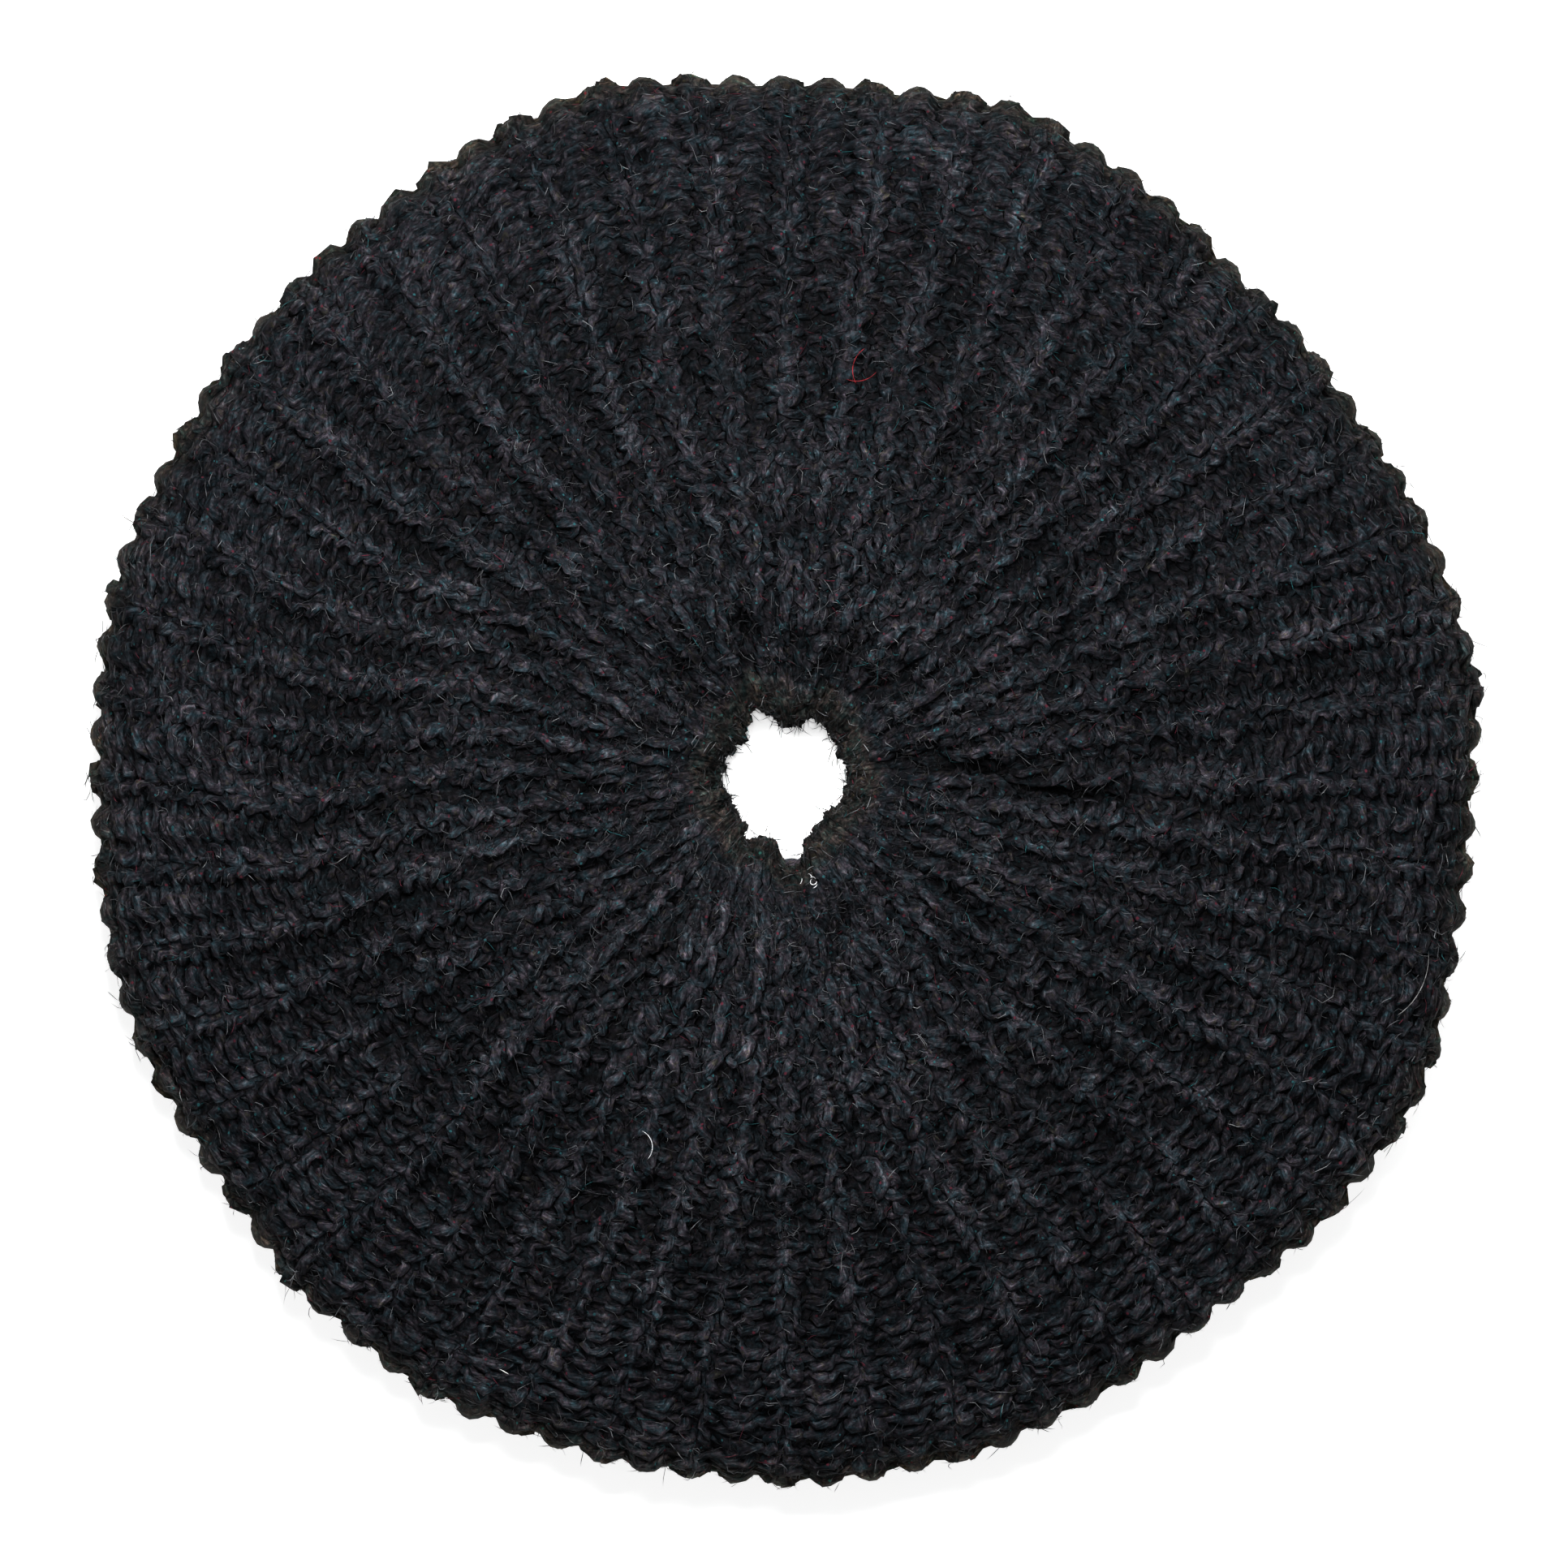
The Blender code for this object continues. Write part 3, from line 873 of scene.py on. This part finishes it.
def fuzz(name, first, last, count, seed, length, rise, thick, pale=0.0):
    """count loose fibres on the rows from first to last. rise is how steeply they leave the yarn."""
    draws = np.random.default_rng(seed)
    path = np.array([courses[row][0] for row in range(first, last)])
    out = np.array([courses[row][1] for row in range(first, last)])
    thickness = np.array([courses[row][2] for row in range(first, last)])
    around = path.shape[1]
    row = draws.integers(0, last - first, count * 3)
    at = draws.integers(0, around, count * 3)
    column = at // LOOP_POINTS
    middle = (first + row + 0.5) * COURSE_PITCH
    hidden = sink_of(middle, np.mod(column + 0.5, COLUMNS))
    kept = np.flatnonzero(draws.uniform(0, 1, count * 3) > 0.9 * hidden)[:count]
    row, at, column = row[kept], at[kept], column[kept]
    count = len(kept)
    base = path[row, at]
    outward = out[row, at]
    forward = path[row, (at + 1) % around] - base
    forward /= np.linalg.norm(forward, axis=1, keepdims=True)
    forward *= np.where(draws.uniform(0, 1, count) < 0.5, -1, 1)[:, None]
    across = np.cross(outward, forward)
    heading = draws.normal(0, FIBRE_BENDS, count)
    bend = draws.normal(0, FIBRE_BENDS, count)
    reach = length * np.minimum(draws.lognormal(0, 0.38, count), 2) / (FIBRE_POINTS - 1)
    lift = rise * draws.uniform(0.3, 1.3, count)
    start = base + outward * (thickness[row, at] * 0.85)[:, None]
    spots = [start]
    for step_on in range(1, FIBRE_POINTS):
        turn = heading + bend * step_on + draws.normal(0, FIBRE_WANDERS, count)
        climb = lift * (1 - 0.55 * step_on)
        way = forward * np.cos(turn)[:, None] + across * np.sin(turn)[:, None] + outward * climb[:, None]
        spots.append(spots[-1] + way * reach[:, None])
    paths = np.stack(spots, axis=1)
    paths[:, :, 2] = np.maximum(paths[:, :, 2], FLOOR_GAP)
    radius = thick * draws.uniform(0.6, 1.4, count)
    vertices, faces, size = needles(paths, outward, radius)
    depth = np.array([courses[line][3] for line in range(first, last)])[row, at] + thickness[row, at]
    tone = draws.choice(len(FIBRE_TONES), count, p=FIBRE_SHARES)
    colour = FIBRE_TONES[tone] * draws.uniform(0.6, 1.5, (count, 1)) + pale * STRAW
    # painted shade: a fibre is darkened as much as the yarn it starts on
    colour = colour * np.interp(depth, *DEPTH_SHADE)[:, None]
    tint = np.repeat(np.column_stack([colour, np.ones(count)]), size, axis=0)
    return mesh_object(name, vertices, faces, tint=tint)


def fibre_finish():
    """Loose fibres take their colour from the tint attribute, and it varies along them."""
    made, tree, shader = paint("loose_wool", 0.60, 0.06, 0.0)
    tint = node(tree, "ShaderNodeAttribute", attribute_name="tint").outputs["Color"]
    place = node(tree, "ShaderNodeTexCoord").outputs["Object"]
    clouds = noise(tree, place, 900, 2)
    varied = ramp(tree, clouds, ((0.35, (0.35, 0.35, 0.35)), (0.65, (1.5, 1.5, 1.5))))
    tree.links.new(multiplied(tree, tint, varied), shader.inputs["Base Color"])
    return made


FUZZ = (  # name, first row, row after the last, count, seed, length, rise, thickness, paleness
    ("fuzz_hole", 0, 9, 5600, 11, 0.0026, 0.16, 0.000050, 0.0010),
    ("fuzz_crown", 6, 26, 16500, 12, 0.0027, 0.10, 0.000054, 0.0),
    ("fuzz_face", 24, 42, 15800, 13, 0.0027, 0.11, 0.000054, 0.0),
    ("fuzz_rim", 40, 56, 11800, 14, 0.0023, 0.24, 0.000048, 0.0028),
    ("fuzz_back", 54, 88, 6000, 15, 0.0028, 0.10, 0.000054, 0.0),
)
fibre_paint = fibre_finish()
fuzz_pieces = []
for row in FUZZ:
    piece = fuzz(*row)
    piece.data.materials.append(fibre_paint)
    fuzz_pieces.append(piece)

# %% [markdown]
# A wheel that has been used carries a little lint: a tuft by the hole, a few pale hairs and a red
# thread or two that came off the work cloth. Each is one bent needle laid on the top of the ribs.
#
# The yarns, the fibres and the lint all lie on the matted cloth, and with it they take the place of the
# knitted cover, which is hidden.

# %% Lint
LINT = (  # x, y, heading in degrees, length in mm, bend, and tone
    (4.2, -14.6, 20, 1.1, 2.5, (0.60, 0.60, 0.62)),
    (4.6, -14.9, 100, 1.2, -2.6, (0.60, 0.60, 0.62)),
    (4.9, -14.2, 160, 1.0, 2.2, (0.50, 0.50, 0.52)),
    (4.4, -15.3, 40, 0.9, 1.2, (0.50, 0.50, 0.52)),
    (4.2, -14.0, 120, 0.9, 2.0, (0.50, 0.50, 0.52)),
    (2.6, -14.8, 70, 0.9, 1.0, (0.45, 0.45, 0.45)),
    (-19.2, -53.6, 95, 5.0, 2.0, (0.55, 0.56, 0.58)),
    (87.0, -34.1, 60, 11.0, 1.2, (0.20, 0.20, 0.20)),
    (10.9, 55.0, 80, 6.0, -1.6, (0.16, 0.010, 0.014)),
    (8.6, 56.5, 10, 5.0, 1.4, (0.14, 0.010, 0.014)),
    (-38.7, -84.9, 150, 1.6, 0.2, (0.45, 0.45, 0.44)),
)
LINT_THICK = 0.00007
LINT_HEIGHT = 0.0008
LINT_POINTS = 12


def lay_on_top(x, y):
    """Points on the ribs' tops above x and y, on the front."""
    radius = np.hypot(x, y)
    rim_index = np.argmax(line_r)
    height = np.interp(radius, line_r[:rim_index], line_z[:rim_index])
    return np.stack([x, y, height + LINT_HEIGHT], axis=-1)


lint_paths = []
for x, y, heading, length, bend, tone in LINT:
    turn = math.radians(heading) + bend * np.linspace(-0.5, 0.5, LINT_POINTS)
    stride = MM * length / (LINT_POINTS - 1)
    run_x = MM * x + np.cumsum(stride * np.cos(turn))
    run_y = MM * y + np.cumsum(stride * np.sin(turn))
    lint_paths.append(lay_on_top(run_x, run_y))
upright = np.tile([0.0, 0.0, 1.0], (len(LINT), 1))
vertices, faces, size = needles(np.array(lint_paths), upright, np.full(len(LINT), LINT_THICK))
tint = np.repeat(np.array([(*row[5], 1) for row in LINT]), size, axis=0)
lint_piece = mesh_object("stray_lint", vertices, faces, tint=tint)
lint_piece.data.materials.append(fibre_paint)
fuzz_pieces.append(lint_piece)

cover_pieces = yarn_pieces + fuzz_pieces
for piece in [matted_cloth] + cover_pieces:
    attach(piece, "root")
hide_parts("knit_cover")

# %% [markdown]
# The body of the wheel is a stack of felt rings, cut from pressed sheet and slipped over a former
# one by one. A cut ring has a soft edge and a skin that is slightly uneven. Each is drawn as a
# section turned about the spindle: a circle of edges is extruded along the section, and its last
# edges are bridged to its first.

# %% Felt rings
FELT_SIDES = 96
FELT_EDGE = 0.0012  # how far a cut edge is rounded
FELT_ROUGH = 0.00012


def turned(name, section):
    """A ring made by extruding a circle of edges along a closed section of (radius, height)."""
    bpy.ops.object.select_all(action="DESELECT")
    first = section[0]
    bpy.ops.mesh.primitive_circle_add(vertices=FELT_SIDES, radius=first[0], location=(0, 0, first[1]))
    ring = bpy.context.object
    ring.name = name
    ring.data.name = name
    bpy.ops.object.mode_set(mode="EDIT")
    bpy.ops.mesh.select_mode(type="EDGE")
    bpy.ops.mesh.select_all(action="SELECT")
    for before, after in zip(section, section[1:]):
        grow = after[0] / before[0]
        bpy.ops.mesh.extrude_edges_move()
        bpy.ops.transform.resize(value=(grow, grow, 1), center_override=(0, 0, before[1]))
        bpy.ops.transform.translate(value=(0, 0, after[1] - before[1]))
    bpy.ops.mesh.select_all(action="DESELECT")
    bpy.ops.mesh.select_non_manifold()
    bpy.ops.mesh.bridge_edge_loops()
    bpy.ops.mesh.select_all(action="SELECT")
    bpy.ops.mesh.normals_make_consistent(inside=False)
    bpy.ops.object.mode_set(mode="OBJECT")
    bpy.ops.object.transform_apply(location=True, rotation=True, scale=True)
    bpy.ops.object.shade_smooth()
    print(name, len(ring.data.polygons), "faces")
    return ring


def roughen(ring, amount, seed):
    """Moves the points a little at random, as felt is never quite flat."""
    bpy.ops.object.select_all(action="DESELECT")
    ring.select_set(True)
    bpy.context.view_layer.objects.active = ring
    bpy.ops.object.mode_set(mode="EDIT")
    bpy.ops.mesh.select_all(action="SELECT")
    bpy.ops.transform.vertex_random(offset=amount, uniform=1.0, normal=0.0, seed=seed)
    bpy.ops.object.mode_set(mode="OBJECT")


def ply_section(low, high, inner, outer):
    """A flat ring's section with rounded edges, from the inner edge along the bottom and back."""
    steps = [inner + (outer - inner) * n / 10 for n in range(1, 10)]
    ease = FELT_EDGE
    bottom = [(inner + ease, low)] + [(r, low) for r in steps] + [(outer - ease, low)]
    top = [(outer - ease, high)] + [(r, high) for r in reversed(steps)] + [(inner + ease, high)]
    outside = [(outer - 0.3 * ease, low + 0.3 * ease), (outer, low + ease)]
    outside += [(outer, high - ease), (outer - 0.3 * ease, high - 0.3 * ease)]
    inside = [(inner + 0.3 * ease, high - 0.3 * ease), (inner, high - ease)]
    inside += [(inner, low + ease), (inner + 0.3 * ease, low + 0.3 * ease)]
    return bottom + outside + top + inside


def felt(name, dark, mid, pale):
    """Pressed felt: short crossed fibres in two or three greys."""
    made, tree, shader = paint(name, 0.9, 0.15, 0.1)
    place = node(tree, "ShaderNodeTexCoord").outputs["Object"]
    squashed = node(tree, "ShaderNodeMapping")
    squashed.inputs["Scale"].default_value = (1, 1, 3)
    tree.links.new(place, squashed.inputs["Vector"])
    fibres = noise(tree, squashed.outputs["Vector"], 1300, 4, 0.75)
    clouds = noise(tree, place, 90, 3)
    value = blend_values(tree, fibres, clouds, 0.3)
    colour = ramp(tree, value, ((0.36, dark), (0.5, mid), (0.66, pale)))
    tree.links.new(colour, shader.inputs["Base Color"])
    bumped(tree, shader, value, 0.0005)
    return made


soft_felt = felt("soft_felt", (0.05, 0.053, 0.057), (0.11, 0.115, 0.12), (0.22, 0.225, 0.23))
hard_felt = felt("hard_felt", (0.035, 0.036, 0.04), (0.07, 0.072, 0.076), (0.13, 0.132, 0.138))
CORE_BORE = 0.019  # the rings' inner radius, which leaves room for the gathered lips
PLIES = (  # node, finish, slot and seed
    ("back_felt_ply", soft_felt, "soft_felt", 21),
    ("stiff_felt_ply", hard_felt, "hard_felt", 22),
    ("front_felt_ply", soft_felt, "soft_felt", 23),
)
for name, finish, slot_name, seed in PLIES:
    low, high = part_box(name)
    ring = turned(name.replace("felt_ply", "felt_ring"), ply_section(low[2], high[2], CORE_BORE, high[0]))
    roughen(ring, FELT_ROUGH, seed)
    ring.data.materials.append(finish)
    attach(ring, "root")
    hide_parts(name)

# %% [markdown]
# The pad on top is soft batting. It is highest a third of the way out, where the cover is, and
# thins to nothing towards the rim. Its points are moved a little before it is subdivided, so that
# its swells are soft, and so that they fall in the same places in each run.

# %% Crown pad
pad_low, pad_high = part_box("crown_pad")
PAD_TOP = pad_high[2] - 0.0020  # lower than the solid pad's, under the deepest crease
PAD_RADIUS = pad_high[0] - 0.002
PAD_BASE = pad_low[2]
PAD_EDGE = 0.0015
PAD_ROUGH = 0.00025
PAD_INNER = 0.015  # where the round of its shoulder would meet its base
over = [CORE_BORE, 0.021, 0.024, 0.028, 0.033, 0.039, 0.046, 0.053, 0.060, 0.067, PAD_RADIUS]


def pad_height(radius):
    """The pad's top: a round shoulder inside the crown and a long slow fall outside it."""
    if radius < CROWN_RADIUS:
        rise = math.sqrt(1 - ((CROWN_RADIUS - radius) / (CROWN_RADIUS - PAD_INNER)) ** 2)
        return PAD_BASE + PAD_EDGE + (PAD_TOP - PAD_BASE - PAD_EDGE) * rise
    fall = 1 - ((radius - CROWN_RADIUS) / (PAD_RADIUS - CROWN_RADIUS)) ** FALL_POWER
    return PAD_BASE + PAD_EDGE + (PAD_TOP - PAD_BASE - PAD_EDGE) * fall


pad_section = [(radius, PAD_BASE) for radius in over]
pad_section += [(radius, pad_height(radius)) for radius in reversed(over)]
pad = turned("crown_batting", pad_section)
roughen(pad, PAD_ROUGH, 24)
bpy.ops.object.modifier_add(type="SUBSURF")
bpy.context.object.modifiers["Subdivision"].levels = 1
bpy.context.object.modifiers["Subdivision"].render_levels = 1
bpy.ops.object.modifier_apply(modifier="Subdivision")
pad.data.materials.append(soft_felt)
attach(pad, "root")
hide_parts("crown_pad")

# %% [markdown]
# A waxed cord runs through the edge stitches at each end of the knitted tube and draws it into the
# bore. Each is two plies laid together, so each ply is a closed line that circles the cord's own
# middle line a whole number of times. The cords are held by the cover all the way round.

# %% Draw cords
CORD_TURNS = 15
CORD_STEPS = 20  # points in a turn
CORD_SIDES = 8
WAX_SHINE = 0.45


def twisted_ring(name, radius, height, thick):
    """Two plies twisted together and closed to a ring."""
    turn = 2 * math.pi * np.arange(CORD_TURNS * CORD_STEPS) / (CORD_TURNS * CORD_STEPS)
    parts = []
    for ply in (0, math.pi):
        lay = CORD_TURNS * turn + ply
        away = radius + thick / 4 * np.cos(lay)
        level = height + thick / 4 * np.sin(lay)
        points = np.stack([away * np.cos(turn), away * np.sin(turn), level], axis=-1)
        outward = np.stack([np.cos(turn), np.sin(turn), 0 * turn], axis=-1)
        parts.append(tube(points, outward, np.full(len(turn), thick / 4), 0 * turn, CORD_SIDES))
    quads = np.vstack([parts[0][1], parts[1][1] + len(parts[0][0])])
    return mesh_object(name, np.vstack([p[0] for p in parts]), quads, np.vstack([p[2] for p in parts]))


cord_stops = [(place, tuple(3 * v + 0.012 for v in rgb)) for place, rgb in WOOL_STOPS]
cord_paint = wool("waxed_cord", cord_stops, True)
cord_paint.node_tree.nodes["Principled BSDF"].inputs["Roughness"].default_value = WAX_SHINE
for name in ("front_draw_cord", "back_draw_cord"):
    low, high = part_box(name)
    thick = high[2] - low[2]
    ring = twisted_ring(name.replace("cord", "string"), high[0] - thick / 2, (low[2] + high[2]) / 2, thick)
    ring.data.materials.append(cord_paint)
    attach(ring, "root")
    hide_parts(name)

# %% [markdown]
# The strip of knitting is closed to a tube by one more length of its own yarn, sewn over and over
# through both edges. It lies inside the cover under the long crease. It is a spiral of stitches
# that follows the outline, with both its ends drawn to a point where they were darned in.

# %% Seam yarn
SEAM_ANGLE = math.radians(-4)
SEAM_DEPTH = 0.0047
SEAM_THICK = 0.00028
SEAM_WIDE = 0.00018
SEAM_ENDS = 0.012  # it stops this far from each lip
STITCH = 0.0035
seam_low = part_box("cover_seam_yarn")[0]
seam_s = np.linspace(SEAM_ENDS, LINE_LENGTH - SEAM_ENDS, SAMPLES)
seam_r = np.interp(seam_s, line_s, line_r) - SEAM_DEPTH * np.interp(seam_s, line_s, out_r)
seam_z = np.interp(seam_s, line_s, line_z) - SEAM_DEPTH * np.interp(seam_s, line_s, out_z)
kept = (seam_r > BACK_FLAT[0]) & (seam_z > seam_low[2] + SEAM_THICK)
seam_s, seam_r, seam_z = seam_s[kept], seam_r[kept], seam_z[kept]
stitch = 2 * math.pi * seam_s / STITCH
side = SEAM_WIDE * np.cos(stitch)
level = SEAM_WIDE * np.sin(stitch)
seam_x = seam_r * math.cos(SEAM_ANGLE) - side * math.sin(SEAM_ANGLE)
seam_y = seam_r * math.sin(SEAM_ANGLE) + side * math.cos(SEAM_ANGLE)
seam_path = np.stack([seam_x, seam_y, seam_z + level], axis=-1)[None]
seam_side = np.array([[-math.sin(SEAM_ANGLE), math.cos(SEAM_ANGLE), 0]])
vertices, faces, size = needles(seam_path, seam_side, np.array([SEAM_THICK]))
seam = mesh_object("cover_seam_stitches", vertices, faces)
seam.data.materials.append(wool("seam_wool", WOOL_STOPS, False))
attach(seam, "root")
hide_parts("cover_seam_yarn")
